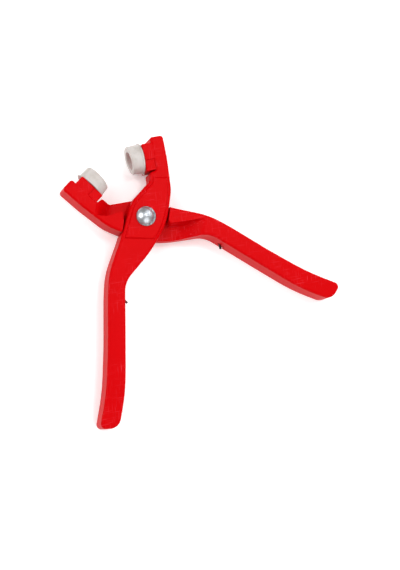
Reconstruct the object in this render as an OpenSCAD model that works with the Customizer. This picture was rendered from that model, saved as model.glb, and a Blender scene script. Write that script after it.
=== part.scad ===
// Snap fastener pliers: two moulded levers crossing on a rivet in a half-lap joint,
// a push-on die cap on each jaw and a torsion spring hidden between the laps.
// Z = 0 is the underside the tool lies on, the rivet stands on the Z axis,
// and +Y runs between the open jaws. Units are millimetres.

/* [Levers] */
// Angle between the two levers at rest
open_angle = 36; // [24:1:38]
// Thickness of the jaws and handles
lever_t = 15; // [13:0.5:16]
// Height of the raised pad over the rivet on each outer face
pad_h = 0.8; // [0.7:0.1:1.2]
// Rounding of the long edges
edge_r = 1.2; // [0.6:0.1:1.4]
// Distance from the rivet to the jaw tips
tip_y = 41; // [40:0.5:43]
// Distance from the rivet to the end of the handle, along the closed tool
handle_y = 105.5; // [95:0.5:112]

/* [Lap joint] */
// Gap between the two faces that slide on each other
lap_gap = 0.2; // [0.1:0.05:0.4]
// Radius of the flat lap face on the jaw side
jaw_lap_r = 17; // [16.5:0.5:18]
// Radius at which the scoop reaches the jaw's full thickness
jaw_scoop_r = 26; // [24:0.5:27]
// Radius of the flat lap face on the handle side
handle_lap_r = 19.8; // [19.5:0.1:21]
// Radius at which the scoop reaches the handle's full thickness
handle_scoop_r = 31; // [28:0.5:33]

/* [Rivet] */
// Diameter of the rivet's shank
shank_d = 5; // [4:0.5:6]
// Radial clearance of the shank in each lever
shank_fit = 0.05; // [0.02:0.01:0.1]
// Diameter of the domed head
head_d = 9.4; // [8:0.1:10]
// Height of the domed head
head_h = 2.6; // [1.8:0.1:3]
// Diameter of the clenched end
tail_d = 7.5; // [6.5:0.5:8]
// Height of the clenched end
tail_h = 0.9; // [0.6:0.1:1]
// Diameter of each washer
washer_d = 10.4; // [9.5:0.1:11]
// Diameter of the hole in each washer
washer_hole_d = 6.4; // [6.2:0.1:6.8]
// Thickness of each washer
washer_t = 0.6; // [0.4:0.1:0.8]
// How far the front washer has slipped off centre
washer_slip = 0.6; // [0:0.1:0.6]

/* [Dies] */
// Distance from the rivet to the die axis when closed
die_y = 31.5; // [31:0.1:32]
// Diameter of the seat that holds one half of a snap
seat_d = 9.5; // [9:0.1:10]
// Depth of that seat on the die axis
seat_depth = 2.8; // [2.4:0.1:3.2]
// Outside diameter of a cap at its open end
cap_mouth_d = 15; // [14.4:0.1:15.2]
// Outside diameter of a cap at its rim
cap_rim_d = 15.8; // [15.4:0.1:16]
// Diameter of a cap over the bead round its rim
cap_bead_d = 16.4; // [16.2:0.1:16.4]
// Length of a cap on the die axis
cap_l = 6.7; // [6.2:0.1:7]
// Slant of a cap's open face, which meets the other one over a snap
cap_slant = 5; // [3:0.5:6]
// Diameter of the spigot a cap is pushed onto
spigot_d = 12; // [11.5:0.1:12.4]

/* [Return spring] */
// Diameter of the spring wire
wire_d = 1.2; // [1:0.1:1.3]
// Mean radius of the coil
coil_r = 5.2; // [5:0.1:5.4]
// Height from one turn of the coil to the next
coil_pitch = 1.45; // [1.4:0.05:1.5]

/* [Hidden] */
$fn = 64;
eps = 0.01;

red = "#d6000a";
off_white = "#d9d6d2";
zinc = "#c9ccd0";
steel = "#6f7276";

full_t = lever_t + 2 * pad_h;      // underside pad to top pad
mid_z = full_t / 2;                // plane the two laps meet on
face_z = full_t - pad_h;           // outer face of jaw and handle
half_open = open_angle / 2;
boss_x = 6.8;                      // face of the boss behind a cap's rim
boss_y = [23.4, 38];               // boss, along the jaw
boss_step_y = 29.2;                // where the boss gets thinner
boss_step = 2.4;                   // how much, on each face
arc_step = 8;                      // degrees per facet on the outline's arcs
edge_n = 3;                        // facets across a rounded edge

// Outline of a lever with the tool closed, jaw at +X: [x, y, corner radius]
outline = [
    [12.0, tip_y, 1.5], [11.8, 23.0, 1.3], [8.4, 22.4, 1.3], [7.4, 20.0, 5],
    [6.8, 17.6, 4], [-5.2, 8.8, 16], [-15.0, -9.5, 40], [-25.0, -25.5, 60],
    [-28.5, -39.0, 60], [-33.5, -62.0, 200], [-39.5, -85.5, 120],
    [-47.0, 2 - handle_y, 2.6], [-37.0, -handle_y, 7], [-29.5, -87.5, 150],
    [-24.0, -62.5, 200], [-17.5, -32.0, 14], [-1.5, -19.5, 60], [11.0, -6.5, 60],
    [17.5, 11.0, 24], [19.0, 27.5, 60], [19.4, tip_y, 1.8]
];

// Full-thickness shoulders that the scoops leave beside the other lever when it is open.
// Each is given on the sliding face and, leaning back from it, on the lever's far face.
jaw_shoulder = [
    [[20.2, 0.4], [12.7, 4.2], [9.6, 6.3], [5.7, 10.5], [13.3, 14.3], [19.3, 21.5], [29.1, 7.4]],
    [[20.2, 0.4], [12.7, 4.2], [9.6, 6.3], [6.5, 9.7], [13.9, 13.4], [20.3, 21.2], [29.1, 7.4]]
];
handle_shoulder = [
    [[-23.1, -0.1], [-7.3, -11.1], [-8.5, -12.9], [-25.2, -26.1], [-36.6, -32.9], [-45, -7.2]],
    [[-23.1, -0.1], [-7.3, -11.1], [-5.4, -15.5], [-23.1, -29.4], [-36.6, -32.9], [-45, -7.2]]
];

// Route of a spring leg along the inside of a handle, tool closed
leg_in = [-15.5, -23.5];
leg_bend = [-22, -36.6];
leg_tip = [-17.8, -42.6];

function unit(v) = v / norm(v);
function turned(p, a) = [p.x * cos(a) - p.y * sin(a), p.x * sin(a) + p.y * cos(a)];
function wrap(a) = a > 180 ? a - 360 : a < -180 ? a + 360 : a;

// Points of the arc that rounds corner b between a and c
function corner(a, b, c, r) =
    let (u = unit(a - b), v = unit(c - b),
         half = acos(u * v) / 2,
         t = min(r / tan(half), 0.49 * min(norm(a - b), norm(c - b))),
         q = t * tan(half),
         o = b + unit(u + v) * q / sin(half),
         s = b + u * t - o, e = b + v * t - o,
         a0 = atan2(s.y, s.x),
         sweep = wrap(atan2(e.y, e.x) - a0),
         n = max(1, ceil(abs(sweep) / arc_step)))
    [for (k = [0 : n]) o + q * [cos(a0 + sweep * k / n), sin(a0 + sweep * k / n)]];

function xy(p) = [p.x, p.y];

// Closed outline with every corner rounded
function rounded(path) =
    let (n = len(path))
    [for (i = [0 : n - 1])
        each corner(xy(path[(i + n - 1) % n]), xy(path[i]), xy(path[(i + 1) % n]), path[i][2])];

// Angle at which a straight line from p touches the coil on the side given by s
function touch(p, s) = atan2(p.y, p.x) + s * acos(coil_r / norm(p));

// Outline moved inwards by d; the path runs anticlockwise
function inset(path, d) =
    let (n = len(path))
    [for (i = [0 : n - 1])
        let (a = unit(path[i] - path[(i + n - 1) % n]),
             b = unit(path[(i + 1) % n] - path[i]),
             na = [-a.y, a.x], nb = [-b.y, b.x], m = unit(na + nb))
        path[i] + m * d / (m * na)];

// Slab between z0 and z1 with its long edges rounded to r
module rounded_slab(path, z0, z1, r) {
    n = len(path);
    rings = concat(
        [for (k = [0 : edge_n]) let (a = 90 * k / edge_n) [r * (1 - sin(a)), z0 + r * (1 - cos(a))]],
        [for (k = [edge_n : -1 : 0]) let (a = 90 * k / edge_n) [r * (1 - sin(a)), z1 - r * (1 - cos(a))]]);
    m = len(rings);
    // resize() sets the height, and it splits the hollow-sided end faces the right way
    resize([0, 0, z1 - z0]) polyhedron(
        [for (g = rings) each [for (p = inset(path, g[0])) [p.x, p.y, g[1]]]],
        concat(
            [[for (i = [0 : n - 1]) i]],
            [[for (i = [n - 1 : -1 : 0]) i + n * (m - 1)]],
            [for (j = [0 : m - 2], i = [0 : n - 1])
                [j * n + i, (j + 1) * n + i, (j + 1) * n + (i + 1) % n, j * n + (i + 1) % n]]));
}

// Half section of the scoop: flat at z = 0 to r0, then hollow up to r1 at height h
function scoop_section(r0, r1, h) =
    let (w = r1 - r0, q = (w * w + h * h) / (2 * h), a1 = asin(w / q))
    concat([[0, 0]],
           [for (k = [0 : 8]) let (a = a1 * k / 8) [r0 + q * sin(a), q * (1 - cos(a))]],
           [[r1 + 0.2, h + 1], [0, h + 1]]);

module scoop(r0, r1) {
    rotate_extrude($fn = 96)
        polygon(scoop_section(r0, r1, mid_z - pad_h - lap_gap / 2 - 0.05));
}

// Block between two outlines of equal length, the first at z = 0 and the second at z = h
module leaning_block(outlines, h) {
    hull() {
        linear_extrude(eps) polygon(outlines[0]);
        translate([0, 0, h]) linear_extrude(eps) polygon(outlines[1]);
    }
}

// Band of width w that follows a route, as one outline
function band(route, w) =
    let (n = len(route),
         side = [for (i = [0 : n - 1])
             let (t = unit(route[min(i + 1, n - 1)] - route[max(i - 1, 0)])) [-t.y, t.x] * w / 2])
    concat([for (i = [0 : n - 1]) route[i] + side[i]],
           [for (i = [n - 1 : -1 : 0]) route[i] - side[i]]);

// Block and spigot that carry a cap; the block is thinner on the side towards the rivet
module boss() {
    translate([boss_x, boss_step_y, pad_h + 0.2])
        cube([7, boss_y[1] - boss_step_y, lever_t - 0.4]);
    translate([boss_x, boss_y[0], pad_h + boss_step])
        cube([7, boss_step_y - boss_y[0] + 1, lever_t - 2 * boss_step]);
    translate([seat_depth + 0.05, die_y, mid_z])
        rotate([0, 90, 0]) cylinder(d = spigot_d, h = boss_x - seat_depth + 1);
}

// One moulded lever, tool closed, jaw at +X and lap in the upper half
module lever() {
    touch_a = touch(leg_in, -1);
    difference() {
        union() {
            rounded_slab(rounded(outline), pad_h, face_z, edge_r);
            translate([0, 0, mid_z])
                linear_extrude(mid_z)
                    intersection() {
                        polygon(inset(rounded(outline), edge_r + 0.5));
                        rotate(-12) translate([-40, -12]) square([80, 33]);
                    }
        }
        // lap: everything under the middle plane, with scoops out to full thickness
        difference() {
            translate([0, 0, mid_z + lap_gap / 2]) mirror([0, 0, 1]) {
                scoop(jaw_lap_r, jaw_scoop_r);
                intersection() {
                    scoop(handle_lap_r, handle_scoop_r);
                    translate([-50, -60, -1]) cube([100, 55, 12]);
                }
            }
            translate([0, 0, -2]) leaning_block(jaw_shoulder, full_t);
            translate([0, 0, -2]) leaning_block(handle_shoulder, full_t);
        }
        translate([0, 0, -1]) cylinder(d = shank_d + 2 * shank_fit, h = full_t + 2);
        // half of the spring's pocket and the slot for its leg
        translate([0, 0, mid_z - 1]) cylinder(r = coil_r + 1, h = 4.2);
        translate([0, 0, mid_z + leg_z - wire_d / 2 - 0.2])
            linear_extrude(wire_d + 0.5)
                polygon(band([coil_r * [cos(touch_a), sin(touch_a)], leg_in, leg_bend,
                              leg_tip + unit(leg_tip - leg_bend)], wire_d + 0.8));
    }
    boss();
}

// Puts a part made with the tool closed into the front or the rear lever's place
module at_front() { rotate(-half_open) children(); }
module at_rear() {
    rotate(half_open) translate([0, 0, full_t]) rotate([0, 180, 0]) children();
}

module front_lever() {
    color(red) at_front()
        difference() {
            lever();
            // flat seat for the stud half
            translate([seat_depth - 1, die_y, mid_z]) rotate([0, 90, 0]) cylinder(d = 3.4, h = 2.2);
        }
}

module rear_lever() {
    color(red) at_rear()
        difference() {
            lever();
            // counterbore that hides the clenched end and its washer
            translate([0, 0, full_t - washer_t - tail_h - 0.1])
                cylinder(d = washer_d + 1, h = 3);
            // dished seat for the cap half
            translate([seat_depth - 10.2, die_y, mid_z]) sphere(r = 10.8, $fn = 96);
            // notch at the end of the spring's slot
            translate([-20.6, -43.4, mid_z + 1]) cube([4, 1.5, mid_z]);
        }
}

module pivot_rivet() {
    head_z = full_t + washer_t;
    cap_q = (head_d * head_d / 4 + head_h * head_h) / (2 * head_h);
    color(zinc) {
        rotate_extrude()
            polygon([[0, 0], [tail_d / 2 - 0.4, 0], [tail_d / 2, 0.4], [tail_d / 2, tail_h],
                     [shank_d / 2, tail_h], [shank_d / 2, head_z], [0, head_z]]);
        intersection() {
            translate([0, 0, head_z + head_h - cap_q]) sphere(r = cap_q, $fn = 96);
            translate([0, 0, head_z]) cylinder(d = head_d, h = head_h + 1);
        }
    }
}

module washer() {
    difference() {
        cylinder(d = washer_d, h = washer_t);
        translate([0, 0, -1]) cylinder(d = washer_hole_d, h = washer_t + 2);
    }
}

module front_washer() {
    color(zinc)
        translate([washer_slip * 0.7, -washer_slip * 0.7, full_t]) washer();
}

module rear_washer() {
    color(zinc) translate([0, 0, tail_h]) washer();
}

// Push-on cap, tool closed, open face towards -X; nub_a turns the moulding nub
module die_cap(nub_a) {
    translate([0, die_y, mid_z])
        difference() {
            union() {
                translate([cap_l - 0.8, 0, 0]) rotate([0, -90, 0])
                    cylinder(d1 = cap_rim_d, d2 = cap_mouth_d, h = cap_l + 1);
                translate([cap_l - 1, 0, 0]) rotate([0, 90, 0]) cylinder(d = cap_bead_d, h = 1);
                rotate([nub_a, 0, 0])
                    translate([cap_l - 0.8, cap_bead_d / 2 - 0.5, -1]) cube([0.8, 1.1, 2]);
            }
            // slanted open face
            rotate([0, 0, cap_slant]) translate([-5, 0, 0]) cube([10, 30, 30], center = true);
            translate([-3, 0, 0]) rotate([0, 90, 0]) cylinder(d = seat_d, h = 8);
            translate([seat_depth, 0, 0]) rotate([0, 90, 0])
                cylinder(d = spigot_d + 0.1, h = cap_l);
        }
}

module front_die_cap() { color(off_white) at_front() die_cap(180); }
module rear_die_cap() { color(off_white) at_rear() die_cap(0); }

// Centre line of the spring in the rest pose: front leg, coil, rear leg
front_leg = [for (p = [leg_tip, leg_bend, leg_in]) turned(p, -half_open)];
rear_leg = [for (p = [leg_in, leg_bend, leg_tip]) turned([-p.x, p.y], half_open)];
coil_a0 = touch(front_leg[2], -1);
coil_a1 = touch(rear_leg[0], 1);
coil_turn = wrap(coil_a1 - coil_a0) - 720;
coil_n = ceil(-coil_turn / 18);
leg_z = -coil_pitch * coil_turn / 720;     // height of a leg above the lap plane
function lead(p, z) = [p.x, p.y, z];
spring_route = concat(
    [for (p = front_leg) lead(p, mid_z + leg_z)],
    [for (k = [0 : coil_n])
        let (a = coil_a0 + coil_turn * k / coil_n)
        [coil_r * cos(a), coil_r * sin(a), mid_z + leg_z - 2 * leg_z * k / coil_n]],
    [for (p = rear_leg) lead(p, mid_z - leg_z)]);

// Round wire swept along a route that is close to level
module wire(route, d, sides = 8) {
    n = len(route);
    rings = [for (i = [0 : n - 1])
        let (t = unit(route[min(i + 1, n - 1)] - route[max(i - 1, 0)]),
             side = unit(cross([0, 0, 1], t)), up = cross(t, side))
        each [for (k = [0 : sides - 1])
            route[i] + d / 2 * (cos(360 * k / sides) * side + sin(360 * k / sides) * up)]];
    polyhedron(rings, concat(
        [[for (k = [0 : sides - 1]) k]],
        [[for (k = [sides - 1 : -1 : 0]) k + (n - 1) * sides]],
        [for (i = [0 : n - 2], k = [0 : sides - 1])
            [i * sides + k, (i + 1) * sides + k,
             (i + 1) * sides + (k + 1) % sides, i * sides + (k + 1) % sides]]));
}

module return_spring() { color(steel) wire(spring_route, wire_d); }

front_lever();
rear_lever();
pivot_rivet();
front_washer();
rear_washer();
front_die_cap();
rear_die_cap();
return_spring();
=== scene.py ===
import math

import bmesh
import bpy
from mathutils import Matrix, Vector


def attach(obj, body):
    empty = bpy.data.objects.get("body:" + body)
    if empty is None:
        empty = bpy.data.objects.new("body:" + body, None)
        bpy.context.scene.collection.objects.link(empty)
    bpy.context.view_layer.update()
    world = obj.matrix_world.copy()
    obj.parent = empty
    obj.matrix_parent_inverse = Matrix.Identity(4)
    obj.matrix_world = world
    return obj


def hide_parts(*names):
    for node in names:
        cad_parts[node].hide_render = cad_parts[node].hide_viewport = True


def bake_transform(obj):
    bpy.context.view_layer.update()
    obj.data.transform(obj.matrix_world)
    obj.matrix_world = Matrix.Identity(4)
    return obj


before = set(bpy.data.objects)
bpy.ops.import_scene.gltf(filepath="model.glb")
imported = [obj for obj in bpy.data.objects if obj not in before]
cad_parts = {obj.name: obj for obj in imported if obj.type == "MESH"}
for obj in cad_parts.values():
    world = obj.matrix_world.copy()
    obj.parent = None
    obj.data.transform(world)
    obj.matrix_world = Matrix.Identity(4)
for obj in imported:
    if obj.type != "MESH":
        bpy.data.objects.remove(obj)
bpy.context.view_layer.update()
scene = bpy.context.scene
mm = 0.001

# what all pieces share, in millimetres, with the tool closed
tool = {
    "openAngle": 36.0,      # between the levers at rest
    "leverThick": 15.0,     # jaws and handles
    "padHeight": 0.8,       # raised pad round the rivet, on each side
    "lapGap": 0.2,          # between the two sliding faces
    "dieY": 31.5,           # die axis, from the rivet
    "coilRadius": 5.2,      # return spring
    "coilPitch": 1.45,
    "wire": 1.2,
}
fullThick = tool["leverThick"] + 2 * tool["padHeight"]
midZ = fullThick / 2
faceZ = fullThick - tool["padHeight"]
halfOpen = math.radians(tool["openAngle"] / 2)

# a piece made for the closed tool goes to the front or the rear lever with these
atFront = Matrix.Rotation(-halfOpen, 4, "Z")
atRear = (Matrix.Rotation(halfOpen, 4, "Z") @ Matrix.Translation((0, 0, fullThick * mm))
          @ Matrix.Rotation(math.pi, 4, "Y"))


def srgb(hexText):
    parts = [int(hexText[i:i + 2], 16) / 255 for i in (1, 3, 5)]
    return tuple(c / 12.92 if c <= 0.04045 else ((c + 0.055) / 1.055) ** 2.4 for c in parts) + (1.0,)


def addNode(tree, kind, settings=None, links=None):
    node = tree.nodes.new(kind)
    for name, value in (settings or {}).items():
        if isinstance(name, int) or name in node.inputs:
            node.inputs[name].default_value = value
        else:
            setattr(node, name, value)
    for name, socket in (links or {}).items():
        tree.links.new(socket, node.inputs[name])
    return node


def startMaterial(name):
    material = bpy.data.materials.new(name)
    material.use_nodes = True
    tree = material.node_tree
    tree.nodes.clear()
    return material, tree


redPlastic = {
    "colour": "#BA0003", "flowColour": "#C20006", "scuffColour": "#D8404C",
    "gloss": 0.03,           # low, so the hue stays deep under a wide light
    "roughness": 0.38, "scuffRoughness": 0.55,
    "flowSize": 14.0,       # mm, clouding where the melt flowed
    "peelSize": 0.9,        # mm, moulded skin; drawn about twice as coarse as it is, so that it shows
    "scuffLength": 9.0, "scuffWidth": 0.45,     # mm, handling scratches
    "scuffPatch": 22.0,     # mm, where they gather
    "scuffShow": 0.55,
}


def mouldedRedPolypropylene():
    # injection-moulded polypropylene: deep, satin, faintly clouded, with a soft skin and pale scratches
    material, tree = startMaterial("moulded_red_polypropylene")
    look = redPlastic
    place = addNode(tree, "ShaderNodeTexCoord").outputs["Object"]
    flow = addNode(tree, "ShaderNodeTexNoise", {"Scale": 1 / (look["flowSize"] * mm), "Detail": 3.0,
                                                "Roughness": 0.55}, {"Vector": place})
    peel = addNode(tree, "ShaderNodeTexNoise", {"Scale": 1 / (look["peelSize"] * mm), "Detail": 2.0},
                   {"Vector": place})
    # two sets of fine scratches, stretched noise at two angles
    scuffs = []
    for turn, stretch in ((0.35, 1.0), (-1.1, 0.7)):
        turned = addNode(tree, "ShaderNodeMapping", {"Rotation": (0, 0, turn)}, {"Vector": place})
        long = 1 / (look["scuffLength"] * stretch * mm)
        thin = 1 / (look["scuffWidth"] * mm)
        scaled = addNode(tree, "ShaderNodeMapping", {"Scale": (long, thin, thin * 0.4)},
                         {"Vector": turned.outputs["Vector"]})
        lines = addNode(tree, "ShaderNodeTexNoise", {"Scale": 1.0, "Detail": 1.0},
                        {"Vector": scaled.outputs["Vector"]})
        scuffs.append(addNode(tree, "ShaderNodeMapRange", {"From Min": 0.62, "From Max": 0.78},
                              {"Value": lines.outputs["Fac"]}).outputs["Result"])
    bothScuffs = addNode(tree, "ShaderNodeMath", {"operation": "MAXIMUM"}, {0: scuffs[0], 1: scuffs[1]})
    # scratches gather in patches
    patch = addNode(tree, "ShaderNodeTexNoise", {"Scale": 1 / (look["scuffPatch"] * mm), "Detail": 2.0},
                    {"Vector": place})
    patchMask = addNode(tree, "ShaderNodeMapRange", {"From Min": 0.42, "From Max": 0.62},
                        {"Value": patch.outputs["Fac"]})
    scuff = addNode(tree, "ShaderNodeMath", {"operation": "MULTIPLY"},
                    {0: bothScuffs.outputs[0], 1: patchMask.outputs["Result"]})
    base = addNode(tree, "ShaderNodeMix", {"data_type": "RGBA", 6: srgb(look["colour"]),
                                           7: srgb(look["flowColour"])}, {0: flow.outputs["Fac"]})
    scuffShare = addNode(tree, "ShaderNodeMath", {"operation": "MULTIPLY", 1: look["scuffShow"]},
                         {0: scuff.outputs[0]})
    colour = addNode(tree, "ShaderNodeMix", {"data_type": "RGBA", 7: srgb(look["scuffColour"])},
                     {0: scuffShare.outputs[0], 6: base.outputs[2]})
    rough = addNode(tree, "ShaderNodeMapRange", {"To Min": look["roughness"],
                                                 "To Max": look["scuffRoughness"]},
                    {"Value": scuff.outputs[0]})
    height = addNode(tree, "ShaderNodeMath", {"operation": "MULTIPLY_ADD", 1: -0.6},
                     {0: scuff.outputs[0], 2: peel.outputs["Fac"]})
    bump = addNode(tree, "ShaderNodeBump", {"Strength": 0.25, "Distance": 0.03 * mm},
                   {"Height": height.outputs[0]})
    shader = addNode(tree, "ShaderNodeBsdfPrincipled",
                     {"IOR": 1.49, "Specular IOR Level": look["gloss"], "Subsurface Weight": 0.05,
                      "Subsurface Radius": (1.0, 0.12, 0.08), "Subsurface Scale": 1.0 * mm},
                     {"Base Color": colour.outputs[2], "Roughness": rough.outputs["Result"],
                      "Normal": bump.outputs["Normal"]})
    addNode(tree, "ShaderNodeOutputMaterial", None, {"Surface": shader.outputs[0]})
    return material


whitePlastic = {
    "colour": "#BEB8B4", "stainColour": "#AAA29B", "roughness": 0.48, "gloss": 0.3,
    "stainSize": 5.0,       # mm, handling dirt
    "skinSize": 0.5,        # mm, moulded skin
}


def mouldedWhitePolyethylene():
    # soft moulded polyethylene: off-white, waxy, light goes a little way in
    material, tree = startMaterial("moulded_white_polyethylene")
    look = whitePlastic
    place = addNode(tree, "ShaderNodeTexCoord").outputs["Object"]
    stain = addNode(tree, "ShaderNodeTexNoise", {"Scale": 1 / (look["stainSize"] * mm), "Detail": 4.0},
                    {"Vector": place})
    stainMask = addNode(tree, "ShaderNodeMapRange", {"From Min": 0.45, "From Max": 0.75},
                        {"Value": stain.outputs["Fac"]})
    colour = addNode(tree, "ShaderNodeMix", {"data_type": "RGBA", 6: srgb(look["colour"]),
                                             7: srgb(look["stainColour"])},
                     {0: stainMask.outputs["Result"]})
    skin = addNode(tree, "ShaderNodeTexNoise", {"Scale": 1 / (look["skinSize"] * mm), "Detail": 2.0},
                   {"Vector": place})
    rough = addNode(tree, "ShaderNodeMapRange", {"To Min": look["roughness"] - 0.05,
                                                 "To Max": look["roughness"] + 0.1},
                    {"Value": stain.outputs["Fac"]})
    bump = addNode(tree, "ShaderNodeBump", {"Strength": 0.2, "Distance": 0.03 * mm},
                   {"Height": skin.outputs["Fac"]})
    shader = addNode(tree, "ShaderNodeBsdfPrincipled",
                     {"IOR": 1.51, "Specular IOR Level": look["gloss"], "Subsurface Weight": 0.2,
                      "Subsurface Radius": (1.0, 0.8, 0.7), "Subsurface Scale": 1.5 * mm},
                     {"Base Color": colour.outputs[2], "Roughness": rough.outputs["Result"],
                      "Normal": bump.outputs["Normal"]})
    addNode(tree, "ShaderNodeOutputMaterial", None, {"Surface": shader.outputs[0]})
    return material


zincPlate = {"colour": "#C4C8CC", "hazeColour": "#9DA2A8", "roughness": 0.32, "hazeRoughness": 0.48,
             "hazeSize": 2.2, "dentSize": 1.6}
# darker copy of the same zinc for the washers: its darker colour is painted shade, standing in for the
# dimmer reflection of their flat faces
shadeDarkenedZinc = {"colour": "#8A8D90", "hazeColour": "#5E6165", "roughness": 0.42, "hazeRoughness": 0.6,
              "hazeSize": 1.4, "dentSize": 0.8}


def zincPlatedSteel(name, look):
    # zinc plating on steel, with hazy patches and shallow dents; the washers' copy is rougher, and its
    # darker colour is painted shade, so that their flat faces do not mirror the overhead lights brightly
    material, tree = startMaterial(name)
    place = addNode(tree, "ShaderNodeTexCoord").outputs["Object"]
    haze = addNode(tree, "ShaderNodeTexNoise", {"Scale": 1 / (look["hazeSize"] * mm), "Detail": 4.0},
                   {"Vector": place})
    hazeMask = addNode(tree, "ShaderNodeMapRange", {"From Min": 0.35, "From Max": 0.7},
                       {"Value": haze.outputs["Fac"]})
    colour = addNode(tree, "ShaderNodeMix", {"data_type": "RGBA", 6: srgb(look["colour"]),
                                             7: srgb(look["hazeColour"])}, {0: hazeMask.outputs["Result"]})
    rough = addNode(tree, "ShaderNodeMapRange", {"To Min": look["roughness"],
                                                 "To Max": look["hazeRoughness"]},
                    {"Value": hazeMask.outputs["Result"]})
    dents = addNode(tree, "ShaderNodeTexNoise", {"Scale": 1 / (look["dentSize"] * mm), "Detail": 1.0},
                    {"Vector": place})
    bump = addNode(tree, "ShaderNodeBump", {"Strength": 0.5, "Distance": 0.12 * mm},
                   {"Height": dents.outputs["Fac"]})
    shader = addNode(tree, "ShaderNodeBsdfPrincipled", {"Metallic": 1.0},
                     {"Base Color": colour.outputs[2], "Roughness": rough.outputs["Result"],
                      "Normal": bump.outputs["Normal"]})
    addNode(tree, "ShaderNodeOutputMaterial", None, {"Surface": shader.outputs[0]})
    return material


springSteel = {"colour": "#4A4745", "darkPatchColour": "#1E1A18", "roughness": 0.34, "darkPatchSize": 1.5}


def drawnSpringSteel():
    # drawn spring wire: dark grey, darker in patches
    material, tree = startMaterial("drawn_spring_steel")
    look = springSteel
    place = addNode(tree, "ShaderNodeTexCoord").outputs["Object"]
    darkPatch = addNode(tree, "ShaderNodeTexNoise", {"Scale": 1 / (look["darkPatchSize"] * mm), "Detail": 4.0},
                  {"Vector": place})
    colour = addNode(tree, "ShaderNodeMix", {"data_type": "RGBA", 6: srgb(look["colour"]),
                                             7: srgb(look["darkPatchColour"])}, {0: darkPatch.outputs["Fac"]})
    rough = addNode(tree, "ShaderNodeMapRange", {"To Min": look["roughness"] - 0.1,
                                                 "To Max": look["roughness"] + 0.15},
                    {"Value": darkPatch.outputs["Fac"]})
    shader = addNode(tree, "ShaderNodeBsdfPrincipled", {"Metallic": 1.0},
                     {"Base Color": colour.outputs[2], "Roughness": rough.outputs["Result"]})
    addNode(tree, "ShaderNodeOutputMaterial", None, {"Surface": shader.outputs[0]})
    return material


redFinish = mouldedRedPolypropylene()
whiteFinish = mouldedWhitePolyethylene()
zincFinish = zincPlatedSteel("bright_zinc_plated_steel", zincPlate)
# the washers get the darker zinc copy, whose darker colour is painted shade
shadeDarkenedWasherFinish = zincPlatedSteel("shade_darkened_zinc_plated_steel", shadeDarkenedZinc)
steelFinish = drawnSpringSteel()
print("materials made")


# degrees above which an edge stays a crease
shading = {"crease": 32, "wireCrease": 40}


def objectFrom(name, bm, place=None):
    bmesh.ops.recalc_face_normals(bm, faces=bm.faces)
    if place is not None:
        bm.transform(place)
    mesh = bpy.data.meshes.new(name)
    bm.to_mesh(mesh)
    bm.free()
    made = bpy.data.objects.new(name, mesh)
    scene.collection.objects.link(made)
    return made


def bake(piece):
    # the piece's modifiers become its plain mesh
    scene.view_layers[0].update()
    evaluated = piece.evaluated_get(bpy.context.evaluated_depsgraph_get())
    mesh = bpy.data.meshes.new_from_object(evaluated)
    old = piece.data
    piece.modifiers.clear()
    piece.data = mesh
    bpy.data.meshes.remove(old)
    return piece


def carve(piece, cutter, operation="DIFFERENCE"):
    step = piece.modifiers.new("carve", "BOOLEAN")
    step.operation, step.solver, step.object = operation, "EXACT", cutter
    bake(piece)
    bpy.data.objects.remove(cutter)
    return piece


def finishPiece(piece, material, body, slot, *nodes):
    # shading that keeps flat faces flat beside their rounded edges
    mesh = piece.data
    mesh.materials.clear()
    mesh.materials.append(material)
    for face in mesh.polygons:
        face.use_smooth = True
        face.material_index = 0
    mesh.set_sharp_from_angle(angle=math.radians(shading["crease"]))
    weigh = piece.modifiers.new("weigh", "WEIGHTED_NORMAL")
    weigh.keep_sharp = True
    bake(piece)
    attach(piece, body)
    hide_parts(*nodes)
    print(piece.name, "ready,", len(piece.data.polygons), "faces")


def lathe(profile, segments=96):
    # turns a closed (radius, height) loop round Z; points on the axis become one vertex
    bm = bmesh.new()
    rings = []
    for radius, height in profile:
        if radius < 1e-6:
            rings.append([bm.verts.new((0, 0, height * mm))])
            continue
        rings.append([bm.verts.new((radius * mm * math.cos(2 * math.pi * k / segments),
                                    radius * mm * math.sin(2 * math.pi * k / segments), height * mm))
                      for k in range(segments)])
    for ring, after in zip(rings, rings[1:] + rings[:1]):
        for k in range(segments):
            corners = [ring[k % len(ring)], ring[(k + 1) % len(ring)],
                       after[(k + 1) % len(after)], after[k % len(after)]]
            corners = list(dict.fromkeys(corners))
            if len(corners) > 2:
                bm.faces.new(corners)
    return bm


def arcPoints(cx, cy, radius, start, end, steps):
    # degrees, as (x, y)
    return [(cx + radius * math.cos(math.radians(start + (end - start) * k / steps)),
             cy + radius * math.sin(math.radians(start + (end - start) * k / steps)))
            for k in range(steps + 1)]


def roundedBox(low, high, rounding, steps=3):
    bm = bmesh.new()
    bmesh.ops.create_cube(bm, size=1)
    size = Vector(high) - Vector(low)
    bm.transform(Matrix.Translation((Vector(low) + size / 2) * mm)
                 @ Matrix.Diagonal((size * mm).to_4d()))
    bm.verts.ensure_lookup_table()
    bmesh.ops.bevel(bm, geom=bm.edges[:], offset=rounding * mm, segments=steps, profile=0.5,
                    affect="EDGES")
    return bm


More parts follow.
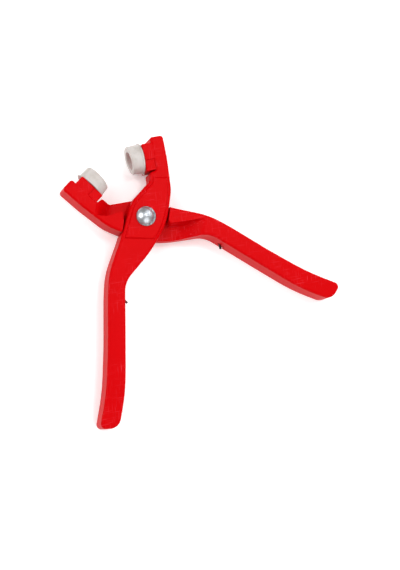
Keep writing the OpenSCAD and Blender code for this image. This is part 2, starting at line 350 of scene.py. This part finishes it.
lever = {
    "edgeRound": 1.2, "edgeSteps": 6, "arcStep": 3.0,
    "padEase": 1.0, "padInset": 1.7,            # width of the pad's soft edge, and its place on the lever
    "padLean": 12.0, "padLow": -12.0, "padHigh": 21.0,      # degrees, and the pad's two ends
    "hollowGrain": 0.4, "hollowEase": 30,       # mesh size of the hollows, and how often it is smoothed
    "tipY": 41.0, "handleEnd": 105.5,
    "jawLap": 17.0, "jawScoop": 27.0,           # radii of the jaw's sliding face and of its scoop
    "handleLap": 19.8, "handleScoop": 34.0,
    "bore": 5.1, "pocketRadius": 6.2, "pocketDepth": 3.2,
    "counterbore": 5.7, "counterboreDepth": 1.6,
    "bossX": 6.8, "bossLow": 23.4, "bossStepY": 29.2, "bossHigh": 38.0, "bossStep": 0.8,
    "blockWidth": 7.0, "blockRound": 0.5,
    "spigot": 12.0, "seatDepth": 2.8,
    "studRadius": 1.7, "studDepth": 1.2,        # hole in the front seat, for a snap's stud
    "dishRadius": 10.8, "dishDepth": 0.6, "dishAngle": 30,      # rear seat, for a snap's cap
    "notchLow": (-20.6, -43.4), "notchHigh": (-16.6, -41.9),    # where the spring's tip leaves the handle
}


def outlineCorners():
    # closed tool, jaw at +X: x, y and the corner's radius, anticlockwise
    tip, end = lever["tipY"], lever["handleEnd"]
    return [
        (12.0, tip, 1.5), (11.8, 23.0, 1.3), (8.4, 22.4, 1.3), (7.4, 20.0, 5), (6.8, 17.6, 4),
        (-5.2, 8.8, 16), (-15.0, -9.5, 40), (-25.0, -25.5, 60), (-28.5, -39.0, 60),
        (-33.5, -62.0, 200), (-39.5, -85.5, 120), (-47.0, 2 - end, 2.6), (-37.0, -end, 7),
        (-29.5, -87.5, 150), (-24.0, -62.5, 200), (-17.5, -32.0, 14), (-1.5, -19.5, 60),
        (11.0, -6.5, 60), (17.5, 11.0, 24), (19.0, 27.5, 60), (19.4, tip, 1.8),
    ]


def roundedPath(corners, step):
    path = []
    for i, (x, y, radius) in enumerate(corners):
        here = Vector((x, y))
        before, after = Vector(corners[i - 1][:2]), Vector(corners[(i + 1) % len(corners)][:2])
        u, v = (before - here).normalized(), (after - here).normalized()
        half = math.acos(max(-1, min(1, u.dot(v)))) / 2
        reach = min(radius / math.tan(half), 0.49 * min((before - here).length, (after - here).length))
        arc = reach * math.tan(half)
        centre = here + (u + v).normalized() * arc / math.sin(half)
        s, e = here + u * reach - centre, here + v * reach - centre
        start = math.atan2(s.y, s.x)
        sweep = (math.atan2(e.y, e.x) - start + math.pi) % (2 * math.pi) - math.pi
        steps = max(2, math.ceil(abs(math.degrees(sweep)) / step))
        path += [centre + arc * Vector((math.cos(start + sweep * k / steps),
                                        math.sin(start + sweep * k / steps)))
                 for k in range(steps + 1)]
    return path


def insetPath(path, distance):
    moved = []
    for i, here in enumerate(path):
        a = (here - path[i - 1]).normalized()
        b = (path[(i + 1) % len(path)] - here).normalized()
        na, nb = Vector((-a.y, a.x)), Vector((-b.y, b.x))
        m = (na + nb).normalized()
        moved.append(here + m * distance / max(0.2, m.dot(na)))
    return moved


def keepSide(path, point, normal):
    # the part of a closed path on the side of a line that its normal points to
    kept = []
    for here, after in zip(path, path[1:] + path[:1]):
        d0, d1 = (here - point).dot(normal), (after - point).dot(normal)
        if d0 >= 0:
            kept.append(here)
        if d0 * d1 < 0:
            kept.append(here + (after - here) * d0 / (d0 - d1))
    return kept


def slab(path, low, high, roundLow, roundHigh, steps):
    # closed slab on a path, its two long edges rounded
    bm = bmesh.new()
    sections = []
    for k in range(steps + 1) if roundLow else [0]:
        a = math.pi / 2 * k / steps
        sections.append((roundLow * (1 - math.sin(a)), low + roundLow * (1 - math.cos(a))))
    for k in range(steps, -1, -1) if roundHigh else [0]:
        a = math.pi / 2 * k / steps
        sections.append((roundHigh * (1 - math.sin(a)), high - roundHigh * (1 - math.cos(a))))
    rings = []
    for inward, z in sections:
        ring = insetPath(path, inward) if inward else path
        rings.append([bm.verts.new((p.x * mm, p.y * mm, z * mm)) for p in ring])
    bm.faces.new(rings[0][::-1])
    bm.faces.new(rings[-1])
    n = len(path)
    for ring, above in zip(rings, rings[1:]):
        for i in range(n):
            bm.faces.new((ring[i], ring[(i + 1) % n], above[(i + 1) % n], above[i]))
    return bm


def softPad(path):
    # low raised pad whose edge rises in a soft S
    bm = bmesh.new()
    rings = []
    for t in (-1, 0, 0.1, 0.25, 0.4, 0.55, 0.7, 0.85, 1):
        z = faceZ - 2 if t < 0 else faceZ - 0.03 + (fullThick - faceZ + 0.03) * t * t * (3 - 2 * t)
        ring = insetPath(path, lever["padEase"] * max(0, t) - 0.3)
        rings.append([bm.verts.new((p.x * mm, p.y * mm, z * mm)) for p in ring])
    bm.faces.new(rings[0][::-1])
    bm.faces.new(rings[-1])
    for ring, above in zip(rings, rings[1:]):
        for i in range(len(path)):
            after = (i + 1) % len(path)
            bm.faces.new((ring[i], ring[after], above[after], above[i]))
    return bm


def scoopCutter(flatRadius, fullRadius, name):
    # flat where the levers slide on each other, then a soft S out to the lever's full thickness
    rise = midZ - tool["padHeight"] - tool["lapGap"] / 2 + 0.25
    top = midZ + tool["lapGap"] / 2
    profile = [(0, top)]
    for k in range(21):
        t = k / 20
        profile.append((flatRadius + (fullRadius - flatRadius) * t, top - rise * t * t * (3 - 2 * t)))
    profile += [(fullRadius + 0.2, top - rise - 1), (0, top - rise - 1)]
    return objectFrom(name, lathe(profile, 192))


def bandPath(route, width):
    left, right = [], []
    for i, here in enumerate(route):
        along = (route[min(i + 1, len(route) - 1)] - route[max(i - 1, 0)]).normalized()
        side = Vector((-along.y, along.x)) * width / 2
        left.append(here + side)
        right.append(here - side)
    return left[::-1] + right


legIn, legBend, legTip = Vector((-15.5, -23.5)), Vector((-22.0, -36.6)), Vector((-17.8, -42.6))

# full-thickness shoulders beside the other lever when it is open: on the lever's far face, and below
shoulders = {
    "jaw": ([(20.2, 0.4), (12.7, 4.2), (9.6, 6.3), (5.7, 10.5), (13.3, 14.3), (19.3, 21.5), (29.1, 7.4)],
            [(20.2, 0.4), (12.7, 4.2), (9.6, 6.3), (6.5, 9.7), (13.9, 13.4), (20.3, 21.2), (29.1, 7.4)]),
    "handle": ([(-23.1, -0.1), (-7.3, -11.1), (-8.5, -12.9), (-25.2, -26.1), (-36.6, -32.9), (-45, -7.2)],
               [(-23.1, -0.1), (-7.3, -11.1), (-5.4, -15.5), (-23.1, -29.4), (-36.6, -32.9), (-45, -7.2)]),
}


def leaningBlock(outlines, low, high):
    bm = bmesh.new()
    below = [bm.verts.new((x * mm, y * mm, low * mm)) for x, y in outlines[0]]
    above = [bm.verts.new((x * mm, y * mm, high * mm)) for x, y in outlines[1]]
    bm.faces.new(below)
    bm.faces.new(above[::-1])
    for i in range(len(below)):
        after = (i + 1) % len(below)
        bm.faces.new((below[i], above[i], above[after], below[after]))
    return bm


def touchAngle(point, side):
    # where a straight line from the point meets the coil
    return math.atan2(point.y, point.x) + side * math.acos(tool["coilRadius"] / point.length)


def turned(point, angle):
    return Vector((point.x * math.cos(angle) - point.y * math.sin(angle),
                   point.x * math.sin(angle) + point.y * math.cos(angle)))


frontLeg = [turned(p, -halfOpen) for p in (legTip, legBend, legIn)]
rearLeg = [turned(Vector((-p.x, p.y)), halfOpen) for p in (legIn, legBend, legTip)]
coilStart = touchAngle(frontLeg[2], -1)
coilTurn = (touchAngle(rearLeg[0], 1) - coilStart + math.pi) % (2 * math.pi) - math.pi - 4 * math.pi
legRise = -tool["coilPitch"] * coilTurn / (4 * math.pi)     # a leg's height above the lap plane


def axisX(at):
    # turns a piece made round Z to stand on the die axis, away from the other jaw
    place = Matrix.Translation((at * mm, tool["dieY"] * mm, midZ * mm))
    return place @ Matrix.Rotation(math.pi / 2, 4, "Y")


def cylinderCutter(name, radius, low, high, place=None, segments=96):
    return objectFrom(name, lathe([(0, low), (radius, low), (radius, high), (0, high)], segments), place)


def mouldedLever(name):
    path = roundedPath(outlineCorners(), lever["arcStep"])
    body = objectFrom(name, slab(path, tool["padHeight"], faceZ, lever["edgeRound"], lever["edgeRound"],
                                 lever["edgeSteps"]))
    # pad round the rivet
    lean = math.radians(lever["padLean"])
    along = Vector((math.sin(lean), math.cos(lean)))
    padPath = insetPath(path, lever["padInset"])
    padPath = keepSide(padPath, along * lever["padLow"], along)
    padPath = keepSide(padPath, along * lever["padHigh"], -along)
    carve(body, objectFrom("pad", softPad(padPath)), "UNION")
    # lap side
    jawScoop = scoopCutter(lever["jawLap"], lever["jawScoop"], "jaw_scoop")
    handleScoop = scoopCutter(lever["handleLap"], lever["handleScoop"], "handle_scoop")
    carve(handleScoop, objectFrom("half", roundedBox((-60, -60, -2), (60, -5, 12), 0.01, 1)), "INTERSECT")
    hollows = carve(jawScoop, handleScoop, "UNION")
    for outlines in shoulders.values():
        carve(hollows, objectFrom("shoulder", leaningBlock(outlines, -2, fullThick - 2)))
    grain = hollows.modifiers.new("grain", "REMESH")
    grain.mode, grain.voxel_size = "VOXEL", lever["hollowGrain"] * mm
    ease = hollows.modifiers.new("ease", "SMOOTH")
    ease.factor, ease.iterations = 0.5, lever["hollowEase"]
    carve(body, bake(hollows))
    carve(body, cylinderCutter("bore", lever["bore"] / 2, -1, fullThick + 1))
    carve(body, cylinderCutter("pocket", lever["pocketRadius"], midZ - 1, midZ + lever["pocketDepth"]))
    # slot for the spring's leg
    touch = touchAngle(legIn, -1)
    route = [tool["coilRadius"] * Vector((math.cos(touch), math.sin(touch))), legIn, legBend,
             legTip + (legTip - legBend).normalized()]
    legRoom = tool["wire"] / 2 + 0.2
    legZ = midZ + legRise
    channel = bandPath(route, tool["wire"] + 0.8)
    carve(body, objectFrom("slot", slab(channel, legZ - legRoom, legZ + legRoom + 0.1, 0, 0, 1)))
    # block and spigot that carry the die cap
    inner, outer = lever["bossX"], lever["bossX"] + lever["blockWidth"]
    for low, high, sunk in ((lever["bossStepY"], lever["bossHigh"], 0.2),
                            (lever["bossLow"], lever["bossStepY"] + 1, lever["bossStep"])):
        block = roundedBox((inner, low, tool["padHeight"] + sunk), (outer, high, faceZ - sunk),
                           lever["blockRound"])
        carve(body, objectFrom("block", block), "UNION")
    r = lever["spigot"] / 2
    spigot = [(0, lever["seatDepth"] + 0.05), (r - 0.3, lever["seatDepth"] + 0.05),
              (r, lever["seatDepth"] + 0.35), (r, lever["bossX"] + 1), (0, lever["bossX"] + 1)]
    carve(body, objectFrom("spigot", lathe(spigot, 96), axisX(0)), "UNION")
    return body


frontLever = mouldedLever("front_lever_moulding")
seat = lever["seatDepth"]
carve(frontLever, cylinderCutter("stud_seat", lever["studRadius"], seat - 1, seat + lever["studDepth"],
                                 axisX(0), 48))
frontLever.data.transform(atFront)
finishPiece(frontLever, redFinish, "front_side", "red_plastic", "front_lever")

rearLever = mouldedLever("rear_lever_moulding")
carve(rearLever, cylinderCutter("counterbore", lever["counterbore"], fullThick - lever["counterboreDepth"],
                                fullThick + 2))
dish = [(0, seat + lever["dishDepth"])]
for angle in range(2, lever["dishAngle"] + 1, 2):
    a = math.radians(angle)
    dish.append((lever["dishRadius"] * math.sin(a),
                 seat + lever["dishDepth"] - lever["dishRadius"] * (1 - math.cos(a))))
dish.append((0, seat - 2))
carve(rearLever, objectFrom("cap_seat", lathe(dish, 96), axisX(0)))
notch = roundedBox((*lever["notchLow"], midZ + 1), (*lever["notchHigh"], fullThick + 2), 0.05, 1)
carve(rearLever, objectFrom("notch", notch))
rearLever.data.transform(atRear)
finishPiece(rearLever, redFinish, "rear_side", "red_plastic", "rear_lever")


dieCap = {
    "mouth": 15.0, "rim": 15.8, "bead": 16.4, "seat": 9.5, "spigotHole": 12.1,
    "length": 6.7, "slant": 5.0, "lipRound": 0.45,
}


def pushOnCap(name, nubAngle):
    cap = dieCap
    mouth, rim, bead = cap["mouth"] / 2, cap["rim"] / 2, cap["bead"] / 2
    seat, hole, length, lip = cap["seat"] / 2, cap["spigotHole"] / 2, cap["length"], cap["lipRound"]
    profile = [(hole, length), (hole, 2.8), (seat, 2.8), (seat, 0.35), (seat + 0.1, 0.12), (seat + 0.35, 0)]
    profile += arcPoints(mouth - lip, lip, lip, -90, 0, 5)
    profile += [(rim - 0.03, length - 1.25), (rim + 0.02, length - 1.02)]
    profile += arcPoints(bead - 0.3, length - 0.7, 0.3, -80, 0, 4)
    profile += arcPoints(bead - 0.25, length - 0.25, 0.25, 0, 90, 3)
    bm = lathe(profile, 128)
    bm.transform(axisX(0))
    # the open face slants, so that two caps meet flat over a snap
    for vertex in bm.verts:
        share = max(0.0, 1 - vertex.co.x / (length * mm))
        vertex.co.x -= share * (vertex.co.y - tool["dieY"] * mm) * math.tan(math.radians(cap["slant"]))
    body = objectFrom(name, bm)
    nub = roundedBox((length - 0.8, bead - 0.5, -1), (length - 0.02, bead + 0.6, 1), 0.25)
    nub.transform(Matrix.Translation((0, tool["dieY"] * mm, midZ * mm)) @ Matrix.Rotation(nubAngle, 4, "X"))
    return carve(body, objectFrom("nub", nub), "UNION")


for name, place, angle, body, node in (
        ("front_cap_moulding", atFront, math.pi, "front_side", "front_die_cap"),
        ("rear_cap_moulding", atRear, 0, "rear_side", "rear_die_cap")):
    cap = pushOnCap(name, angle)
    cap.data.transform(place)
    finishPiece(cap, whiteFinish, body, "white_plastic", node)


rivet = {"shank": 5.0, "head": 9.4, "headHeight": 2.6, "tail": 7.5, "tailHeight": 0.9,
         "washer": 10.4, "washerHole": 6.4, "washerThick": 0.6, "washerEdge": 0.15,
         "slip": 0.6}           # how far the front washer has slipped, to the right and down


def rivetProfile():
    head, tail, shank = rivet["head"] / 2, rivet["tail"] / 2, rivet["shank"] / 2
    base, rise = fullThick + rivet["washerThick"], rivet["headHeight"]
    dome = (head * head + rise * rise) / (2 * rise)
    full = math.asin(head / dome)
    profile = [(0, 0), (tail - 0.4, 0)] + arcPoints(tail - 0.4, 0.4, 0.4, -60, 0, 3)
    profile += [(tail, rivet["tailHeight"]), (shank, rivet["tailHeight"]), (shank, base),
                (head - 0.25, base), (head - 0.07, base + 0.07)]
    profile += [(dome * math.sin(full * k / 20), base + rise - dome * (1 - math.cos(full * k / 20)))
                for k in range(19, 0, -1)]
    return profile + [(0, base + rise)]


domedRivet = objectFrom("domed_rivet", lathe(rivetProfile(), 96))
finishPiece(domedRivet, zincFinish, "rear_side", "zinc_plate", "pivot_rivet")


def washerProfile(low):
    inner, outer, t = rivet["washerHole"] / 2, rivet["washer"] / 2, rivet["washerThick"]
    edge = rivet["washerEdge"]
    profile = [(inner, low), (outer - edge, low)]
    profile += arcPoints(outer - edge, low + edge, edge, -60, 0, 2)
    profile += arcPoints(outer - edge, low + t - edge, edge, 0, 60, 2)
    return profile + [(outer - edge, low + t), (inner, low + t)]


slip = Matrix.Translation((rivet["slip"] * 0.7 * mm, -rivet["slip"] * 0.7 * mm, 0))
slippedWasher = objectFrom("slipped_washer", lathe(washerProfile(fullThick), 96), slip)
finishPiece(slippedWasher, shadeDarkenedWasherFinish, "front_side", "zinc_plate", "front_washer")
hiddenWasher = objectFrom("hidden_washer", lathe(washerProfile(rivet["tailHeight"]), 96))
finishPiece(hiddenWasher, shadeDarkenedWasherFinish, "rear_side", "zinc_plate", "rear_washer")


def wireTree():
    # sweeps a round wire along an edge chain, with its bends rounded
    tree = bpy.data.node_groups.new("round_wire", "GeometryNodeTree")
    face = tree.interface
    face.new_socket(name="Route", in_out="INPUT", socket_type="NodeSocketGeometry")
    for name, kind, value in (("Wire radius", "NodeSocketFloat", tool["wire"] / 2 * mm),
                              ("Bend radius", "NodeSocketFloat", 1.6 * mm),
                              ("Sides", "NodeSocketInt", 16)):
        face.new_socket(name=name, in_out="INPUT", socket_type=kind).default_value = value
    face.new_socket(name="Finish", in_out="INPUT", socket_type="NodeSocketMaterial")
    face.new_socket(name="Wire", in_out="OUTPUT", socket_type="NodeSocketGeometry")
    given = addNode(tree, "NodeGroupInput").outputs
    chain = addNode(tree, "GeometryNodeMeshToCurve", None, {"Mesh": given["Route"]})
    bent = addNode(tree, "GeometryNodeFilletCurve", {"mode": "POLY", "Limit Radius": True},
                   {"Curve": chain.outputs[0], "Radius": given["Bend radius"]})
    bent.inputs["Count"].default_value = 6
    section = addNode(tree, "GeometryNodeCurvePrimitiveCircle", None,
                      {"Resolution": given["Sides"], "Radius": given["Wire radius"]})
    swept = addNode(tree, "GeometryNodeCurveToMesh", {"Fill Caps": True},
                    {"Curve": bent.outputs[0], "Profile Curve": section.outputs[0]})
    real = addNode(tree, "GeometryNodeRealizeInstances", None, {"Geometry": swept.outputs[0]})
    painted = addNode(tree, "GeometryNodeSetMaterial", None,
                      {"Geometry": real.outputs[0], "Material": given["Finish"]})
    addNode(tree, "NodeGroupOutput", None, {"Wire": painted.outputs[0]})
    return tree


def springRoute():
    points = [(p.x, p.y, midZ + legRise) for p in frontLeg]
    steps = math.ceil(abs(math.degrees(coilTurn)) / 7)
    for k in range(steps + 1):
        a = coilStart + coilTurn * k / steps
        points.append((tool["coilRadius"] * math.cos(a), tool["coilRadius"] * math.sin(a),
                       midZ + legRise - 2 * legRise * k / steps))
    return points + [(p.x, p.y, midZ - legRise) for p in rearLeg]


route = bmesh.new()
chain = [route.verts.new(Vector(p) * mm) for p in springRoute()]
for a, b in zip(chain, chain[1:]):
    route.edges.new((a, b))
routeMesh = bpy.data.meshes.new("spring_wire")
route.to_mesh(routeMesh)
route.free()
springWire = bpy.data.objects.new("spring_wire", routeMesh)
scene.collection.objects.link(springWire)
sweep = springWire.modifiers.new("wire", "NODES")
sweep.node_group = wireTree()
sockets = {item.name: item.identifier for item in sweep.node_group.interface.items_tree
           if item.in_out == "INPUT"}
sweep[sockets["Finish"]] = steelFinish
bake(springWire)
ends = bmesh.new()
ends.from_mesh(springWire.data)
bmesh.ops.remove_doubles(ends, verts=ends.verts, dist=0.001 * mm)
bmesh.ops.recalc_face_normals(ends, faces=ends.faces)
ends.to_mesh(springWire.data)
ends.free()
for face in springWire.data.polygons:
    face.use_smooth = True
springWire.data.set_sharp_from_angle(angle=math.radians(shading["wireCrease"]))
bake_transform(springWire)
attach(springWire, "rear_side")
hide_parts("return_spring")
print("spring ready,", len(springWire.data.polygons), "faces")


studio = {
    "floor": "#FBFBFB", "floorGlow": 0.22, "sky": 0.34,
    # position and size in metres, power in watts
    "lights": {
        "key": ((-0.75, 0.65, 0.95), 1.2, 12.5),
        "fill": ((0.95, 0.15, 0.75), 1.2, 8.5),
        "front": ((-0.1, -1.0, 0.8), 1.2, 7.5),
        "sheen": ((0.29, 0.10, 1.0), 0.22, 2.4),
    },
}


def paleFloor():
    # a white board lit a little from below, so that shadows on it stay faint
    material, tree = startMaterial("pale_matt_board")
    shader = addNode(tree, "ShaderNodeBsdfPrincipled",
                     {"Base Color": srgb(studio["floor"]), "Roughness": 0.9, "Specular IOR Level": 0.1,
                      "Emission Color": (1, 1, 1, 1), "Emission Strength": studio["floorGlow"]})
    addNode(tree, "ShaderNodeOutputMaterial", None, {"Surface": shader.outputs[0]})
    bm = bmesh.new()
    bmesh.ops.create_grid(bm, x_segments=1, y_segments=1, size=3.0)
    floor = objectFrom("floor", bm)
    floor.data.materials.append(material)


def softLight(name, at, target, size, power):
    data = bpy.data.lights.new(name, "AREA")
    data.shape, data.size, data.energy = "DISK", size, power
    light = bpy.data.objects.new(name, data)
    light.location = at
    light.rotation_euler = (Vector(at) - Vector(target)).to_track_quat("Z", "Y").to_euler()
    scene.collection.objects.link(light)


def softWorld():
    world = bpy.data.worlds.new("studio")
    world.use_nodes = True
    world.node_tree.nodes["Background"].inputs["Color"].default_value = (1, 1, 1, 1)
    world.node_tree.nodes["Background"].inputs["Strength"].default_value = studio["sky"]
    scene.world = world


view = {
    "towards": (-0.262, -0.044, 0.964),     # from the rivet to the camera
    "up": (0.5075, 0.8616, 0.0),
    "distance": 0.719,
    "aim": (-0.0431, 0.0492),               # the rivet stands left of and above the view's middle
    "lens": 121.7,
}


def placeCamera():
    v = Vector(view["towards"]).normalized()
    right = Vector(view["up"]).cross(v).normalized()
    up = v.cross(right)
    back = (right * view["aim"][0] + up * view["aim"][1] + v).normalized()
    across = up.cross(back).normalized()
    turn = Matrix((across, back.cross(across), back)).transposed()
    data = bpy.data.cameras.new("camera")
    data.sensor_fit, data.sensor_width, data.lens = "HORIZONTAL", 36.0, view["lens"]
    data.clip_start, data.clip_end = 0.02, 20.0
    camera = bpy.data.objects.new("camera", data)
    stand = Vector((0, 0, midZ * mm)) + v * view["distance"]
    camera.matrix_world = Matrix.Translation(stand) @ turn.to_4x4()
    scene.collection.objects.link(camera)
    scene.camera = camera


paleFloor()
softWorld()
for name, (at, size, power) in studio["lights"].items():
    softLight(name, at, (0.005, 0.015, 0.016), size, power)
placeCamera()
scene.view_settings.view_transform = "Standard"
scene.view_settings.look = "None"
print("studio ready")
